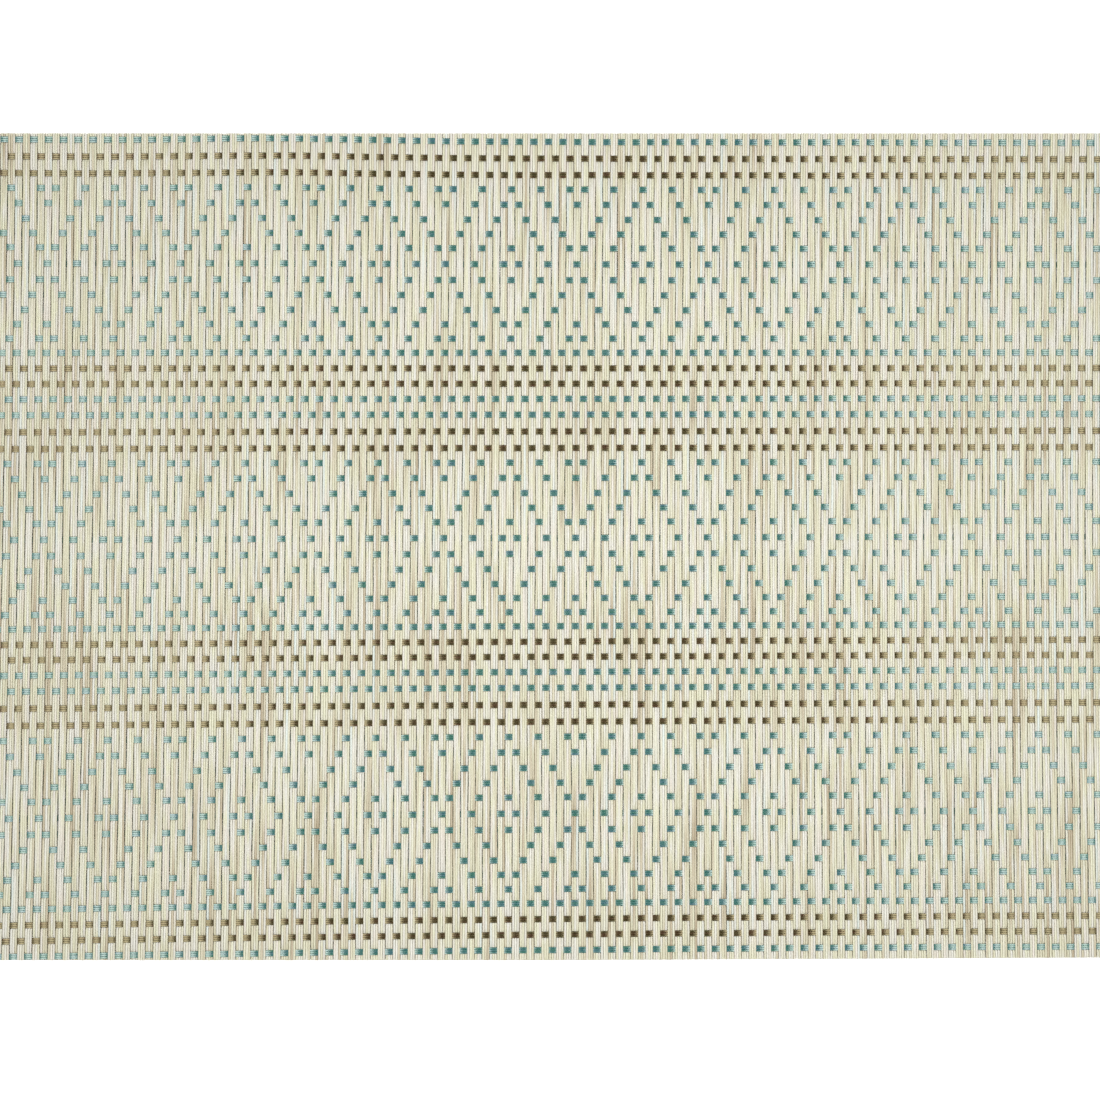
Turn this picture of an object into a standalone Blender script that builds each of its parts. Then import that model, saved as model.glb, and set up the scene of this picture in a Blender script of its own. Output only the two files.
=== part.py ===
# Woven placemat: one cut rectangle of ribbed cloth that lies flat. Metres, +Z up.
# The origin is in the middle of the underside, X runs across the ribs and Y along them.

import bmesh
import bpy
import numpy as np

MAT_WIDTH = 0.450  # along X, across the warp
MAT_DEPTH = 0.330  # along Y, the length of every warp strand
MAT_THICKNESS = 0.0015  # from the underside to the crests of the ribs

WARP_ENDS = 153  # ribs side by side, each a flat bundle of three strands
GROOVE_WIDTH = 0.00044  # the open line between two ribs, at the crests
GROOVE_DEPTH = 0.00035

CREAM = (0.72, 0.70, 0.55, 1.0)
SATIN_ROUGHNESS = 0.45


def clear_scene():
    for item in list(bpy.data.objects):
        bpy.data.objects.remove(item, do_unlink=True)


def make_material():
    """Satin vinyl strand in the cream of the warp."""
    material = bpy.data.materials.new("woven_vinyl")
    material.use_nodes = True
    shader = material.node_tree.nodes["Principled BSDF"]
    shader.inputs["Base Color"].default_value = CREAM
    shader.inputs["Roughness"].default_value = SATIN_ROUGHNESS
    shader.inputs["Metallic"].default_value = 0.0
    return material


def rib_section():
    """The face's outline across the ribs: for each rib its groove, near crest and far crest."""
    pitch = MAT_WIDTH / WARP_ENDS
    groove = np.arange(WARP_ENDS + 1) * pitch - MAT_WIDTH / 2
    near_crest = groove[:-1] + GROOVE_WIDTH / 2
    far_crest = groove[1:] - GROOVE_WIDTH / 2
    across = np.append(np.column_stack([groove[:-1], near_crest, far_crest]).ravel(), groove[-1])
    height = np.full(across.size, MAT_THICKNESS)
    height[::3] -= GROOVE_DEPTH
    return across, height


def make_mat(collection):
    """A flat grid with a column of faces for each facet of the ribs, raised into a closed slab.

    The grid stays as the underside, and the raised copy of it takes the heights of the section.
    """
    across, height = rib_section()
    body = bmesh.new()
    bmesh.ops.create_grid(body, x_segments=across.size - 1, y_segments=1, size=0.5)
    for vertex in body.verts:
        column = round((vertex.co.x + 0.5) * (across.size - 1))
        vertex.co = (across[column], vertex.co.y * MAT_DEPTH, 0.0)

    raised = bmesh.ops.extrude_face_region(body, geom=body.faces[:])
    for vertex in raised["geom"]:
        if isinstance(vertex, bmesh.types.BMVert):
            vertex.co.z = np.interp(vertex.co.x, across, height)
    bmesh.ops.recalc_face_normals(body, faces=body.faces[:])

    mesh = bpy.data.meshes.new("placemat")
    body.to_mesh(mesh)
    body.free()
    mesh.materials.append(make_material())
    mat = bpy.data.objects.new("placemat", mesh)
    collection.objects.link(mat)
    return mat


def main():
    clear_scene()
    collection = bpy.data.collections.new("woven_placemat")
    bpy.context.scene.collection.children.link(collection)
    make_mat(collection)


main()
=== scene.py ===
import math

import bpy
import numpy as np
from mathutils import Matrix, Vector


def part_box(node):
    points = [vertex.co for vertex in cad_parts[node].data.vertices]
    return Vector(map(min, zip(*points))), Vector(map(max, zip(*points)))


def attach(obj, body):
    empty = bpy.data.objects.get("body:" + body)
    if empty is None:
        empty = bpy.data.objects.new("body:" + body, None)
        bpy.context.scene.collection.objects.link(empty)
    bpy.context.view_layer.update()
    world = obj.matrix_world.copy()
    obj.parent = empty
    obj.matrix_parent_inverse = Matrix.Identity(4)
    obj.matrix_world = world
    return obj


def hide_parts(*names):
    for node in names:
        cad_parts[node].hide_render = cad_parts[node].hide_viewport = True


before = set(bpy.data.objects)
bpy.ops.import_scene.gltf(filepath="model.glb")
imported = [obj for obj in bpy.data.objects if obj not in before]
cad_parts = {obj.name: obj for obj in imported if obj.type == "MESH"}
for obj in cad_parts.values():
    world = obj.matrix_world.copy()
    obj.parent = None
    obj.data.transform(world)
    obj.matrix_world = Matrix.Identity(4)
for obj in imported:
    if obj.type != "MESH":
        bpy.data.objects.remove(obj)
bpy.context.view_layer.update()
matLow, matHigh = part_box("placemat")
mm = 0.001

cloth = {
    "width": matHigh.x - matLow.x,
    "depth": matHigh.y - matLow.y,
    "thickness": matHigh.z - matLow.z,
    "halfSeen": 0.220,  # half of the width that the picture shows, the unit of u below
    "topOver": 0.0003,  # the top cut lies this far outside the solid
    "bottomOver": 0.0002,
    "bottomSlope": 0.0011,  # the bottom cut climbs by this from the middle to the right
}

warp = {
    "ends": 153,
    "firstInDraft": -2,  # the draft's number of the leftmost end
    "strandWidth": 0.96 * mm,
    "strandHeight": 0.70 * mm,
    "strandPitch": 0.965 * mm,
    "crown": 20.0,  # degrees that a strand's top leans at its edges, for the light
    "bunch": 0.21,  # share of the pitch that the strands close up in the middle of the longest floats
    "bunchFrom": 16 * mm,  # floats up to this long don't bunch
    "bunchFull": 34 * mm,
    "shoulder": 1.15 * mm,  # half of the stretch that lies flat under a pick
    "foot": 2.3 * mm,  # where the end is back on top, from the middle of the pick
    "shoulderTilt": 14.0,  # degrees that the surface leans at the shoulder and at the foot, for the light
    "footTilt": 5.0,
    "strandWander": 0.03 * mm,  # how far a strand strays in its bundle, and a bundle on its line
    "bundleWander": 0.07 * mm,
    "sideTone": (0.35, 0.85),  # how much painted shade the strands' inner and outer flanks take, standing in for the shade in the lines between strands and between ends
    "rimTone": (0.20, 0.28),  # and painted shade on the left and right rims of a bundle's top, where the round bundle turns away from the light
    "leanAll": -0.64 * mm,  # the warp's lean at the bottom edge, on the middle line
    "leanSides": -0.55 * mm,  # what it adds at both sides
    "leanFan": (0.44 * mm, 0.85 * mm),  # what each unit of u adds: with the way down, and with its square
    "bend": 0.25 * mm,  # to the right at the top and bottom edges
    "spread": (-0.63 * mm, -0.92 * mm, 0.77 * mm),  # uneven beating-up: u, u squared, u cubed
    "panels": ("left", "middle", "right"),
    "seed": 11,
}

weft = {
    "strandWidth": 0.84 * mm,
    "strandHeight": 0.70 * mm,
    "strandPitch": 0.80 * mm,
    "crown": 8.0,
    "bunch": 0.0,
    "shoulder": 1.50 * mm,  # half of a float's flat top, over one end
    "foot": 2.05 * mm,  # where the pick is back underneath
    "shoulderTilt": 6.0,
    "footTilt": 30.0,
    "strandWander": 0.02 * mm,
    "bundleWander": 0.04 * mm,
    "firstInset": 3.1 * mm,  # from the top cut to the middle of the first pick
    # painted shade on the weft strands' flanks, darkening the lines between strands and the edges of each
    # dot
    "sideTone": (0.3, 0.3),
    "rimTone": (0.0, 0.0),
    "skew": (0.74 * mm, 1.42 * mm),  # how far the picks climb to the right: all over, and towards the bottom
    "bow": (-0.18 * mm, -0.53 * mm),  # and how far they climb at both sides
    "packing": {"y": -0.056, "height": 0.6 * mm, "wide": 0.030},  # picks beaten up closer than in the draft
    "crest": {"x": -0.112, "height": 1.1 * mm, "wide": 0.048, "fades": 0.040},
    "seed": 23,
}

# Sheds say which ends of a repeat of 18 lie under the weft. Plain picks take every other end.
sheds = {
    "a": (0, 4, 6, 10, 14),
    "b": (1, 5, 9, 13, 15),
    "c": (2, 8, 12, 16),
    "d": (3, 7, 11, 17),
    "even": tuple(range(0, 18, 2)),
    "odd": tuple(range(1, 18, 2)),
}
repeatEnds = 18
# One row for each pick of the repeat: shed, weft piece, and millimetres to the next pick.
draft = (
    ("a", "zigzagTeal", 6.10),
    ("b", "zigzagTeal", 6.10),
    ("c", "zigzagTeal", 5.85),
    ("d", "zigzagTeal", 5.70),
    ("a", "zigzagTeal", 6.40),
    ("b", "zigzagTeal", 6.40),
    ("a", "zigzagTeal", 6.05),
    ("d", "zigzagTeal", 6.00),
    ("c", "zigzagTeal", 5.70),
    ("b", "zigzagTeal", 5.75),
    ("a", "zigzagTeal", 5.70),
    ("odd", "stripeTeal", 6.25),
    ("even", "stripeBrown", 6.15),
    ("odd", "stripeBrown", 6.10),
    ("even", "stripeTeal", 6.30),
    ("odd", "stripeTeal", 6.75),
    ("even", "stripeBrown", 6.65),
    ("odd", "stripeBrown", 5.85),
)
repeats = 3
firstRow = 15  # the draft's row that the top cut starts with

strandsInBundle = 3
strandWaves = (0.061, 0.023)  # lengths of the slow waves in a strand's line, in metres
bundleWaves = (0.140, 0.055)
cutClear = 0.25 * mm  # a path has no point closer to a cut than this, besides the cut itself
highLevel = cloth["thickness"] - warp["strandHeight"] / 2
lowLevel = weft["strandHeight"] / 2

# Points round a strand's section, in shares of its width and height.
sectionShape = {
    "across": np.array([0.5, 0.38, -0.38, -0.5, -0.38, 0.38]),
    "up": np.array([0.0, 0.5, 0.5, 0.0, -0.5, -0.5]),
}


def pickRows():
    # Rows of the draft from the top cut down, and each pick's place on the middle line.
    rows = [draft[(firstRow + i) % len(draft)] for i in range(repeats * len(draft))]
    gaps = np.array([row[2] for row in rows[:-1]]) * mm
    middles = cloth["depth"] / 2 - weft["firstInset"] - np.concatenate([[0.0], np.cumsum(gaps)])
    packing = weft["packing"]
    return rows, middles + packing["height"] * np.exp(-(((middles - packing["y"]) / packing["wide"]) ** 2))


def endLine(end, y):
    # An end's x at y: even pitch, plus a cubic spread across the mat, plus a lean in line with the way down
    # from the middle, plus a fan and a bend with its square.
    x = (end + 0.5) * cloth["width"] / warp["ends"] - cloth["width"] / 2
    u = x / cloth["halfSeen"]
    down = -y / (cloth["depth"] / 2)
    one, two, three = warp["spread"]
    steady, growing = warp["leanFan"]
    lean = (warp["leanAll"] + warp["leanSides"] * u**2) * down + (steady * down + growing * down**2) * u
    return x + one * u + two * u**2 + three * u**3 + lean + warp["bend"] * down**2


def pickLine(middle, x):
    # A pick's y at x: its place on the middle line, plus a skew and a bow that grow downwards, plus a local
    # crest.
    u = x / cloth["halfSeen"]
    down = -middle / (cloth["depth"] / 2)
    skew = (weft["skew"][0] + weft["skew"][1] * down) * u
    bow = (weft["bow"][0] + weft["bow"][1] * down) * u**2
    crest = weft["crest"]
    fade = np.exp(-(cloth["depth"] / 2 - middle) / crest["fades"])
    return middle + skew + bow + crest["height"] * fade * np.exp(-(((x - crest["x"]) / crest["wide"]) ** 2))


def bundlePaths(dotLine, dotPlace, cutLow, cutHigh, rest, turned, kind):
    # A bundle keeps its resting level, and at each dot goes to the other one and back: foot, shoulder,
    # shoulder, foot. Where a cut falls inside a dot, the level there is read off the slope between those
    # four. A long float gets one more point halfway, where its strands bunch: nothing up to bunchFrom, and
    # all of bunch from bunchFull on.
    offsets = np.array([-kind["foot"], -kind["shoulder"], kind["shoulder"], kind["foot"]])
    levels = np.array([rest, turned, turned, rest])
    tilts = np.radians([kind["footTilt"], kind["shoulderTilt"], -kind["shoulderTilt"], -kind["footTilt"]])
    line = np.repeat(dotLine, 4)
    place = (dotPlace[:, None] + offsets).ravel()
    level = np.tile(levels, dotLine.size)
    tilt = np.tile(tilts * np.sign(turned - rest), dotLine.size)
    bunch = np.zeros(place.size)

    if kind["bunch"] > 0:
        inLine = np.lexsort((dotPlace, dotLine))
        nextLine, nextPlace = dotLine[inLine], dotPlace[inLine]
        long = np.diff(nextPlace)
        share = np.clip((long - kind["bunchFrom"]) / (kind["bunchFull"] - kind["bunchFrom"]), 0, 1)
        floats = np.flatnonzero((nextLine[1:] == nextLine[:-1]) & (share > 0))
        line = np.concatenate([line, nextLine[floats]])
        place = np.concatenate([place, nextPlace[floats] + long[floats] / 2])
        level = np.concatenate([level, np.full(floats.size, rest)])
        tilt = np.concatenate([tilt, np.zeros(floats.size)])
        bunch = np.concatenate([bunch, kind["bunch"] * share[floats]])

    lines = np.arange(cutLow.size)
    order = np.lexsort((place, line))
    key = line[order] + place[order]  # places are under half a metre, so a line's keys keep to themselves
    lowLevels = np.interp(lines + cutLow, key, level[order])
    highLevels = np.interp(lines + cutHigh, key, level[order])
    inside = (place > cutLow[line] + cutClear) & (place < cutHigh[line] - cutClear)
    line = np.concatenate([line[inside], lines, lines])
    place = np.concatenate([place[inside], cutLow, cutHigh])
    level = np.concatenate([level[inside], lowLevels, highLevels])
    tilt = np.concatenate([tilt[inside], np.zeros(2 * lines.size)])
    bunch = np.concatenate([bunch[inside], np.zeros(2 * lines.size)])
    order = np.lexsort((place, line))
    return line[order], place[order], level[order], tilt[order], bunch[order]


def wander(number, place, most, lengths, rng):
    # A slow wave for each length along every numbered thing, with a period, height and start of its own.
    count = int(number.max()) + 1
    total = np.zeros(place.size)
    for length in lengths:
        period = length * rng.uniform(0.8, 1.25, count)
        start = rng.uniform(0, 2 * math.pi, count)
        height = most * rng.uniform(0.3, 1.0, count)
        total += height[number] * np.sin(2 * math.pi * place / period[number] + start[number])
    return total


def weaveStrands(name, line, place, level, tilt, bunch, sideOf, kind, alongX):
    # Every bundle's path, taken three times side by side, carries a six-sided section from cut to cut.
    strand = np.concatenate([line * strandsInBundle + s for s in range(strandsInBundle)])
    order = np.lexsort((np.tile(place, strandsInBundle), strand))
    strand = strand[order]
    place, level, tilt, bunch = (np.tile(a, strandsInBundle)[order] for a in (place, level, tilt, bunch))
    bundle = strand // strandsInBundle
    step = (strand % strandsInBundle - (strandsInBundle - 1) / 2) * kind["strandPitch"] * (1 - bunch)
    rng = np.random.default_rng(kind["seed"])
    side = sideOf(bundle, place) + step
    side = side + wander(strand, place, kind["strandWander"], strandWaves, rng)
    side = side + wander(bundle, place, kind["bundleWander"], bundleWaves, rng)

    crown = kind["crown"]
    lean = np.radians([0.0, 90 - crown, 90 + crown, 180.0, 270 - crown, 270 + crown])
    across = side[:, None] + sectionShape["across"] * kind["strandWidth"]
    up = level[:, None] + sectionShape["up"] * kind["strandHeight"]
    along = np.repeat(place[:, None], lean.size, axis=1)
    outAcross = np.broadcast_to(np.cos(lean), across.shape)
    outAlong = -np.sin(tilt)[:, None] * np.sin(lean)
    outUp = np.cos(tilt)[:, None] * np.sin(lean)
    if alongX:
        points = np.stack([along, across, up], axis=2)
        outward = np.stack([outAlong, outAcross, outUp], axis=2)
        axis = np.array([1.0, 0.0, 0.0])
    else:
        points = np.stack([across, along, up], axis=2)
        outward = np.stack([outAcross, outAlong, outUp], axis=2)
        axis = np.array([0.0, 1.0, 0.0])

    # Painted shade: the flanks and the rims of a bundle's top get a share of a dark tint, in place of the
    # shade between strands and between ends.
    inner, outer = kind["sideTone"]
    isFirst = strand % strandsInBundle == 0
    isLast = strand % strandsInBundle == strandsInBundle - 1
    flankPaintedShade = np.zeros(across.shape)
    flankPaintedShade[:, 0] = np.where(isLast, outer, inner)
    flankPaintedShade[:, 3] = np.where(isFirst, outer, inner)
    flankPaintedShade[isFirst, 2], flankPaintedShade[isLast, 1] = kind["rimTone"]
    return skinStrands(name, strand, points, outward, flankPaintedShade, axis, alongX)


def skinStrands(name, strand, points, outward, flankPaintedShade, axis, alongX):
    # Quads join each ring to the next one of its strand, and a six-sided face shuts each end.
    sides = points.shape[1]
    first = np.arange(strand.size) * sides
    joined = np.flatnonzero(strand[1:] == strand[:-1])
    here = first[joined][:, None] + np.arange(sides)
    nextSide = first[joined][:, None] + (np.arange(sides) + 1) % sides
    quads = np.stack([here, nextSide, nextSide + sides, here + sides], axis=2).reshape(-1, 4)
    starts = np.flatnonzero(np.concatenate([[True], strand[1:] != strand[:-1]]))
    stops = np.flatnonzero(np.concatenate([strand[1:] != strand[:-1], [True]]))
    startCaps = (first[starts][:, None] + np.arange(sides))[:, ::-1]
    stopCaps = first[stops][:, None] + np.arange(sides)
    if not alongX:  # across, along and up are left-handed here
        quads, startCaps, stopCaps = quads[:, ::-1], startCaps[:, ::-1], stopCaps[:, ::-1]

    outward = outward / np.linalg.norm(outward, axis=2, keepdims=True)
    flatOut = outward.reshape(-1, 3)
    cornerOut = np.concatenate([
        flatOut[quads.ravel()],
        np.broadcast_to(-axis, (startCaps.size, 3)),
        np.broadcast_to(axis, (stopCaps.size, 3)),
    ])

    mesh = bpy.data.meshes.new(name)
    mesh.from_pydata(points.reshape(-1, 3), [], quads.tolist() + startCaps.tolist() + stopCaps.tolist())
    number = mesh.attributes.new("strandNumber", "FLOAT", "POINT")
    number.data.foreach_set("value", np.repeat(strand.astype(np.float32), sides))
    paintedShadeAttr = mesh.attributes.new("strandPaintedShade", "FLOAT", "POINT")
    paintedShadeAttr.data.foreach_set("value", flankPaintedShade.ravel().astype(np.float32))
    mesh.shade_smooth()
    mesh.normals_split_custom_set(cornerOut.tolist())
    obj = bpy.data.objects.new(name, mesh)
    bpy.context.collection.objects.link(obj)
    print(f"{name}: {len(starts)} strands, {2 * len(quads) + 8 * len(starts)} triangles")
    return obj


def addNode(tree, kind, place, **values):
    node = tree.nodes.new(kind)
    node.location = place
    for key, value in values.items():
        if key in node.inputs:
            node.inputs[key].default_value = value
        else:
            setattr(node, key, value)
    return node


def scaled(tree, source, factor, place):
    # The source times a fixed factor.
    node = addNode(tree, "ShaderNodeMath", place, operation="MULTIPLY")
    node.inputs[1].default_value = factor
    tree.links.new(source, node.inputs[0])
    return node.outputs[0]


def vinyl(name, look, alongX):
    # Strand colour: noise read at (strand number, place along the strand), through a ramp of tones, so that
    # each strand drifts by itself. Fine streaks lie along the strand in colour, roughness and bump, and the
    # strands' flanks are darkened by painted shade, a tint that stands in for the shade between strands.
    material = bpy.data.materials.new(name)
    material.use_nodes = True
    tree = material.node_tree
    link = tree.links.new
    shader = tree.nodes["Principled BSDF"]
    shader.inputs["Specular IOR Level"].default_value = look["specular"]
    shader.inputs["Specular Tint"].default_value = look["glareTint"]

    place = addNode(tree, "ShaderNodeTexCoord", (-1400, 0))
    split = addNode(tree, "ShaderNodeSeparateXYZ", (-1200, 0))
    link(place.outputs["Object"], split.inputs[0])
    number = addNode(tree, "ShaderNodeAttribute", (-1400, 300), attribute_name="strandNumber")
    along, across = ("X", "Y") if alongX else ("Y", "X")

    spot = addNode(tree, "ShaderNodeCombineXYZ", (-800, 220))
    link(scaled(tree, number.outputs["Fac"], look["strandStep"], (-1000, 300)), spot.inputs["X"])
    link(scaled(tree, split.outputs[along], 1 / look["driftLength"], (-1000, 120)), spot.inputs["Y"])
    tone = addNode(tree, "ShaderNodeTexNoise", (-600, 220), Scale=1.0, Detail=2.0, Roughness=0.6)
    link(spot.outputs[0], tone.inputs["Vector"])
    ramp = addNode(tree, "ShaderNodeValToRGB", (-400, 220))
    stops = ramp.color_ramp.elements
    for i, (at, colour) in enumerate(look["tones"]):
        stop = stops[i] if i < 2 else stops.new(at)
        stop.position = at
        stop.color = (*colour, 1.0)
    link(tone.outputs["Fac"], ramp.inputs["Fac"])

    finePlace = addNode(tree, "ShaderNodeCombineXYZ", (-800, -200))
    link(scaled(tree, split.outputs[across], 1 / look["streakWidth"], (-1000, -120)), finePlace.inputs["X"])
    link(scaled(tree, split.outputs[along], 1 / look["streakLength"], (-1000, -280)), finePlace.inputs["Y"])
    link(scaled(tree, split.outputs["Z"], 1 / look["streakWidth"], (-1000, -440)), finePlace.inputs["Z"])
    streak = addNode(tree, "ShaderNodeTexNoise", (-600, -200), Scale=1.0, Detail=1.0)
    link(finePlace.outputs[0], streak.inputs["Vector"])

    shade = addNode(tree, "ShaderNodeMapRange", (-400, -60))
    shade.inputs["To Min"].default_value = 1 - look["streakDepth"]
    shade.inputs["To Max"].default_value = 1 + look["streakDepth"]
    link(streak.outputs["Fac"], shade.inputs["Value"])
    tint = addNode(tree, "ShaderNodeMix", (-200, 160), data_type="RGBA", blend_type="MULTIPLY")
    tint.inputs["Factor"].default_value = 1.0
    link(ramp.outputs["Color"], tint.inputs["A"])
    link(shade.outputs["Result"], tint.inputs["B"])
    # Painted shade: the flank attribute mixes the dark tint into the base colour on the strands' flanks.
    paintedShadeAttr = addNode(tree, "ShaderNodeAttribute", (-400, 420), attribute_name="strandPaintedShade")
    sides = addNode(tree, "ShaderNodeMix", (0, 260), data_type="RGBA", blend_type="MULTIPLY")
    link(paintedShadeAttr.outputs["Fac"], sides.inputs["Factor"])
    link(tint.outputs["Result"], sides.inputs["A"])
    sides.inputs["B"].default_value = look["paintedShadeTint"]
    link(sides.outputs["Result"], shader.inputs["Base Color"])

    gloss = addNode(tree, "ShaderNodeMapRange", (-400, -320))
    gloss.inputs["To Min"].default_value = look["roughness"][0]
    gloss.inputs["To Max"].default_value = look["roughness"][1]
    link(streak.outputs["Fac"], gloss.inputs["Value"])
    link(gloss.outputs["Result"], shader.inputs["Roughness"])

    bump = addNode(tree, "ShaderNodeBump", (-200, -320), Strength=look["bump"])
    bump.inputs["Distance"].default_value = bumpHeight
    link(streak.outputs["Fac"], bump.inputs["Height"])
    link(bump.outputs["Normal"], shader.inputs["Normal"])
    return material


bumpHeight = 0.05 * mm
# Tones are places on the ramp with their colours, its two ends first. The strand step keeps the noise of one
# strand apart from the next one's, and the drift length is how far a tone lasts along a strand.
looks = {
    "creamWarp": {
        "tones": (
            (0.32, (0.27, 0.225, 0.145)),
            (0.68, (0.395, 0.43, 0.395)),
            (0.40, (0.36, 0.33, 0.235)),
            (0.45, (0.38, 0.37, 0.26)),
            (0.50, (0.425, 0.415, 0.37)),
            (0.55, (0.41, 0.405, 0.285)),
            (0.60, (0.425, 0.395, 0.34)),
        ),
        "strandStep": 7.31,
        "driftLength": 0.085,
        "streakWidth": 0.12 * mm,
        "streakLength": 6 * mm,
        "streakDepth": 0.05,
        # painted shade: the warm dark tint that the warp flanks take for the shade in the gaps between ends
        "paintedShadeTint": (0.42, 0.33, 0.19, 1.0),
        "roughness": (0.34, 0.46),
        "specular": 0.5,
        "glareTint": (1.0, 1.0, 1.0, 1.0),
        "bump": 0.15,
    },
    "tealWeft": {
        "tones": (
            (0.34, (0.004, 0.075, 0.052)),
            (0.66, (0.014, 0.070, 0.090)),
            (0.50, (0.007, 0.073, 0.067)),
        ),
        "strandStep": 5.77,
        "driftLength": 0.012,
        "streakWidth": 0.12 * mm,
        "streakLength": 5 * mm,
        "streakDepth": 0.08,
        # painted shade: the grey tint that the teal weft flanks take
        "paintedShadeTint": (0.70, 0.70, 0.70, 1.0),
        "roughness": (0.21, 0.28),
        "specular": 1.0,
        "glareTint": (0.90, 0.98, 0.89, 1.0),
        "bump": 0.04,
    },
    "brownWeft": {
        "tones": (
            (0.34, (0.011, 0.010, 0.000)),
            (0.66, (0.022, 0.004, 0.001)),
            (0.50, (0.015, 0.008, 0.000)),
        ),
        "strandStep": 6.13,
        "driftLength": 0.015,
        "streakWidth": 0.12 * mm,
        "streakLength": 5 * mm,
        "streakDepth": 0.08,
        # painted shade: the grey tint that the brown weft flanks take
        "paintedShadeTint": (0.70, 0.70, 0.70, 1.0),
        "roughness": (0.21, 0.28),
        "specular": 1.0,
        "glareTint": (0.86, 0.75, 0.45, 1.0),
        "bump": 0.04,
    },
}

picture = {
    "distance": 1.0,
    "tilt": 1.9,  # degrees off straight down, from the near edge
    "aim": (-0.00144, -0.0021),
    "wide": 0.440,  # how much of the mat spans the frame
    "sensor": 36.0,
}

studio = {
    "stripWide": 0.34,
    "stripLong": 1.3,
    "stripOut": {"left": -0.412, "right": 0.425},
    "stripUp": 1.15,
    "stripPower": 12.9,
    "topUp": 0.52,
    "topX": 0.05,
    "topSize": 0.30,
    "topPower": 1.25,
    "fillAt": (0.97, 0.60),  # height on the sky, from the zenith at 1 to the horizon at 0
    "fill": (0.03, 0.30),  # overhead, where a real room has the camera and a dark ceiling, and at the walls
    "floorSize": 8.0,
    "floorColour": (0.95, 0.95, 0.95, 1.0),
    "floorRoughness": 0.9,
}


def makeWarp(rows, middles, material):
    # Three panels of ends side by side, so that none is too heavy a mesh.
    panels = warp["panels"]
    ends = warp["ends"] // len(panels)
    made = []
    for n, panel in enumerate(panels):
        base = n * ends
        draftEnd = (np.arange(base, base + ends) + warp["firstInDraft"]) % repeatEnds
        under = np.array([np.isin(draftEnd, sheds[row[0]]) for row in rows])
        dotEnd, dotPick = np.nonzero(under.T)
        nominal = endLine(dotEnd + base, 0.0)
        dotPlace = pickLine(middles[dotPick], nominal)
        edge = endLine(np.arange(base, base + ends), 0.0)
        climb = cloth["bottomSlope"] * np.maximum(edge / cloth["halfSeen"], 0)
        bottom = climb - cloth["depth"] / 2 - cloth["bottomOver"]
        top = np.full(ends, cloth["depth"] / 2 + cloth["topOver"])
        path = bundlePaths(dotEnd, dotPlace, bottom, top, highLevel, lowLevel, warp)
        kind = {**warp, "seed": warp["seed"] + n}
        piece = weaveStrands(
            f"warp_{panel}", *path, lambda line, y, base=base: endLine(line + base, y), kind, alongX=False
        )
        piece.data.materials.append(material)
        made.append(piece)
    return made


def makeWeft(name, piece, rows, middles, material, seed):
    # The picks that belong to one weft piece, each three strands from side to side.
    mine = np.array([i for i, row in enumerate(rows) if row[1] == piece])
    draftEnd = (np.arange(warp["ends"]) + warp["firstInDraft"]) % repeatEnds
    over = np.array([np.isin(draftEnd, sheds[rows[i][0]]) for i in mine])
    dotLine, dotEnd = np.nonzero(over)
    dotPlace = endLine(dotEnd, middles[mine][dotLine])
    left = endLine(-0.5, middles[mine])
    right = endLine(warp["ends"] - 0.5, middles[mine])
    path = bundlePaths(dotLine, dotPlace, left, right, lowLevel, highLevel, weft)
    kind = {**weft, "seed": weft["seed"] + seed}
    obj = weaveStrands(name, *path, lambda line, x: pickLine(middles[mine][line], x), kind, alongX=True)
    obj.data.materials.append(material)
    return obj


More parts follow.
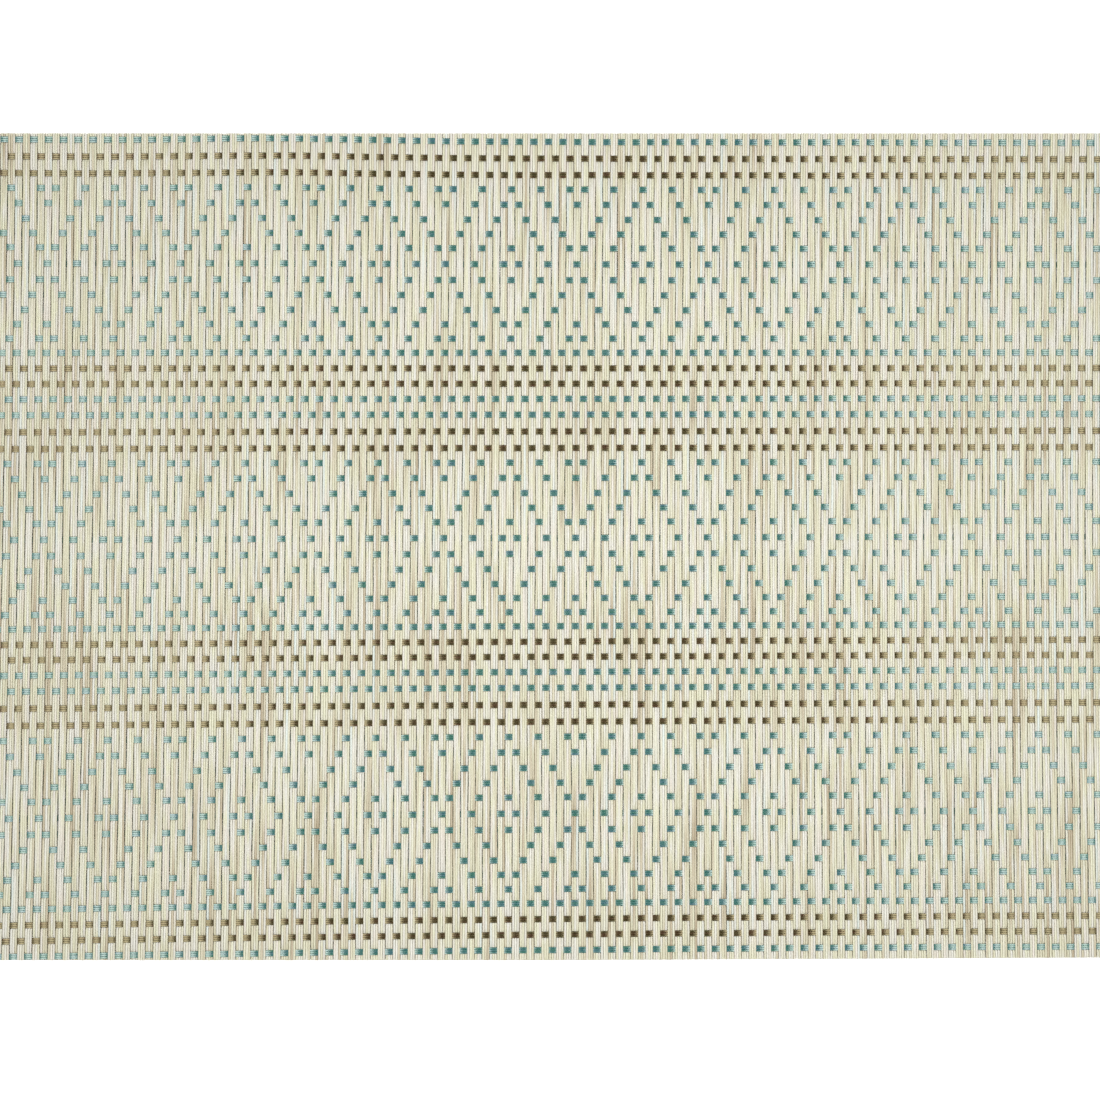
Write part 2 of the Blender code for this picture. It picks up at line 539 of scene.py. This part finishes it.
def makeStudio():
    # A plain white floor, a long soft strip on each side that shines on the flat weft floats, a soft light
    # from above that only feeds the colours, and a fill from all round.
    bpy.ops.mesh.primitive_plane_add(size=studio["floorSize"], location=(0, 0, 0))
    floor = bpy.context.object
    floor.name = "floor"
    paint = bpy.data.materials.new("floorWhite")
    paint.use_nodes = True
    shader = paint.node_tree.nodes["Principled BSDF"]
    shader.inputs["Base Color"].default_value = studio["floorColour"]
    shader.inputs["Roughness"].default_value = studio["floorRoughness"]
    floor.data.materials.append(paint)

    for side, out in studio["stripOut"].items():
        light = bpy.data.lights.new(f"{side}Strip", "AREA")
        light.shape = "RECTANGLE"
        light.size = studio["stripWide"]
        light.size_y = studio["stripLong"]
        light.energy = studio["stripPower"]
        lamp = bpy.data.objects.new(light.name, light)
        lamp.location = (out, 0, studio["stripUp"])
        lamp.rotation_euler = (0, math.atan2(out, studio["stripUp"]), 0)
        bpy.context.collection.objects.link(lamp)

    light = bpy.data.lights.new("topSoft", "AREA")
    light.shape = "DISK"
    light.size = studio["topSize"]
    light.energy = studio["topPower"]
    lamp = bpy.data.objects.new(light.name, light)
    lamp.location = (studio["topX"], 0, studio["topUp"])
    lamp.visible_camera = False
    lamp.visible_glossy = False
    bpy.context.collection.objects.link(lamp)

    world = bpy.data.worlds.new("studioFill")
    world.use_nodes = True
    tree = world.node_tree
    way = addNode(tree, "ShaderNodeTexCoord", (-800, 0))
    split = addNode(tree, "ShaderNodeSeparateXYZ", (-600, 0))
    tree.links.new(way.outputs["Generated"], split.inputs[0])
    strength = addNode(tree, "ShaderNodeMapRange", (-400, 0))
    strength.inputs["From Min"].default_value, strength.inputs["From Max"].default_value = studio["fillAt"]
    strength.inputs["To Min"].default_value, strength.inputs["To Max"].default_value = studio["fill"]
    tree.links.new(split.outputs["Z"], strength.inputs["Value"])
    tree.nodes["Background"].inputs["Color"].default_value = (1, 1, 1, 1)
    tree.links.new(strength.outputs["Result"], tree.nodes["Background"].inputs["Strength"])
    bpy.context.scene.world = world
    bpy.context.scene.view_settings.view_transform = "Standard"


def makeCamera():
    # The camera looks down on the mat from a little in front of straight above.
    tilt = math.radians(picture["tilt"])
    x, y = picture["aim"]
    lens = bpy.data.cameras.new("camera")
    lens.sensor_width = picture["sensor"]
    lens.lens = picture["sensor"] * picture["distance"] / picture["wide"]
    camera = bpy.data.objects.new("camera", lens)
    camera.location = (x, y - picture["distance"] * math.sin(tilt), picture["distance"] * math.cos(tilt))
    camera.rotation_euler = (tilt, 0, 0)
    bpy.context.collection.objects.link(camera)
    bpy.context.scene.camera = camera


rows, middles = pickRows()
print(f"draft: {len(rows)} picks over {warp['ends']} ends")
makeCamera()
makeStudio()
print("camera, floor and lights are set")

creamWarp = vinyl("creamWarp", looks["creamWarp"], alongX=False)
tealWeft = vinyl("tealWeft", looks["tealWeft"], alongX=True)
brownWeft = vinyl("brownWeft", looks["brownWeft"], alongX=True)

warpPieces = makeWarp(rows, middles, creamWarp)
weftPieces = [
    makeWeft("weft_zigzag_teal", "zigzagTeal", rows, middles, tealWeft, 0),
    makeWeft("weft_stripe_teal", "stripeTeal", rows, middles, tealWeft, 1),
    makeWeft("weft_stripe_brown", "stripeBrown", rows, middles, brownWeft, 2),
]

for piece in warpPieces:
    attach(piece, "root")
    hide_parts("placemat")
for piece in weftPieces:
    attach(piece, "root")
    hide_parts("placemat")

print("woven cloth is done")
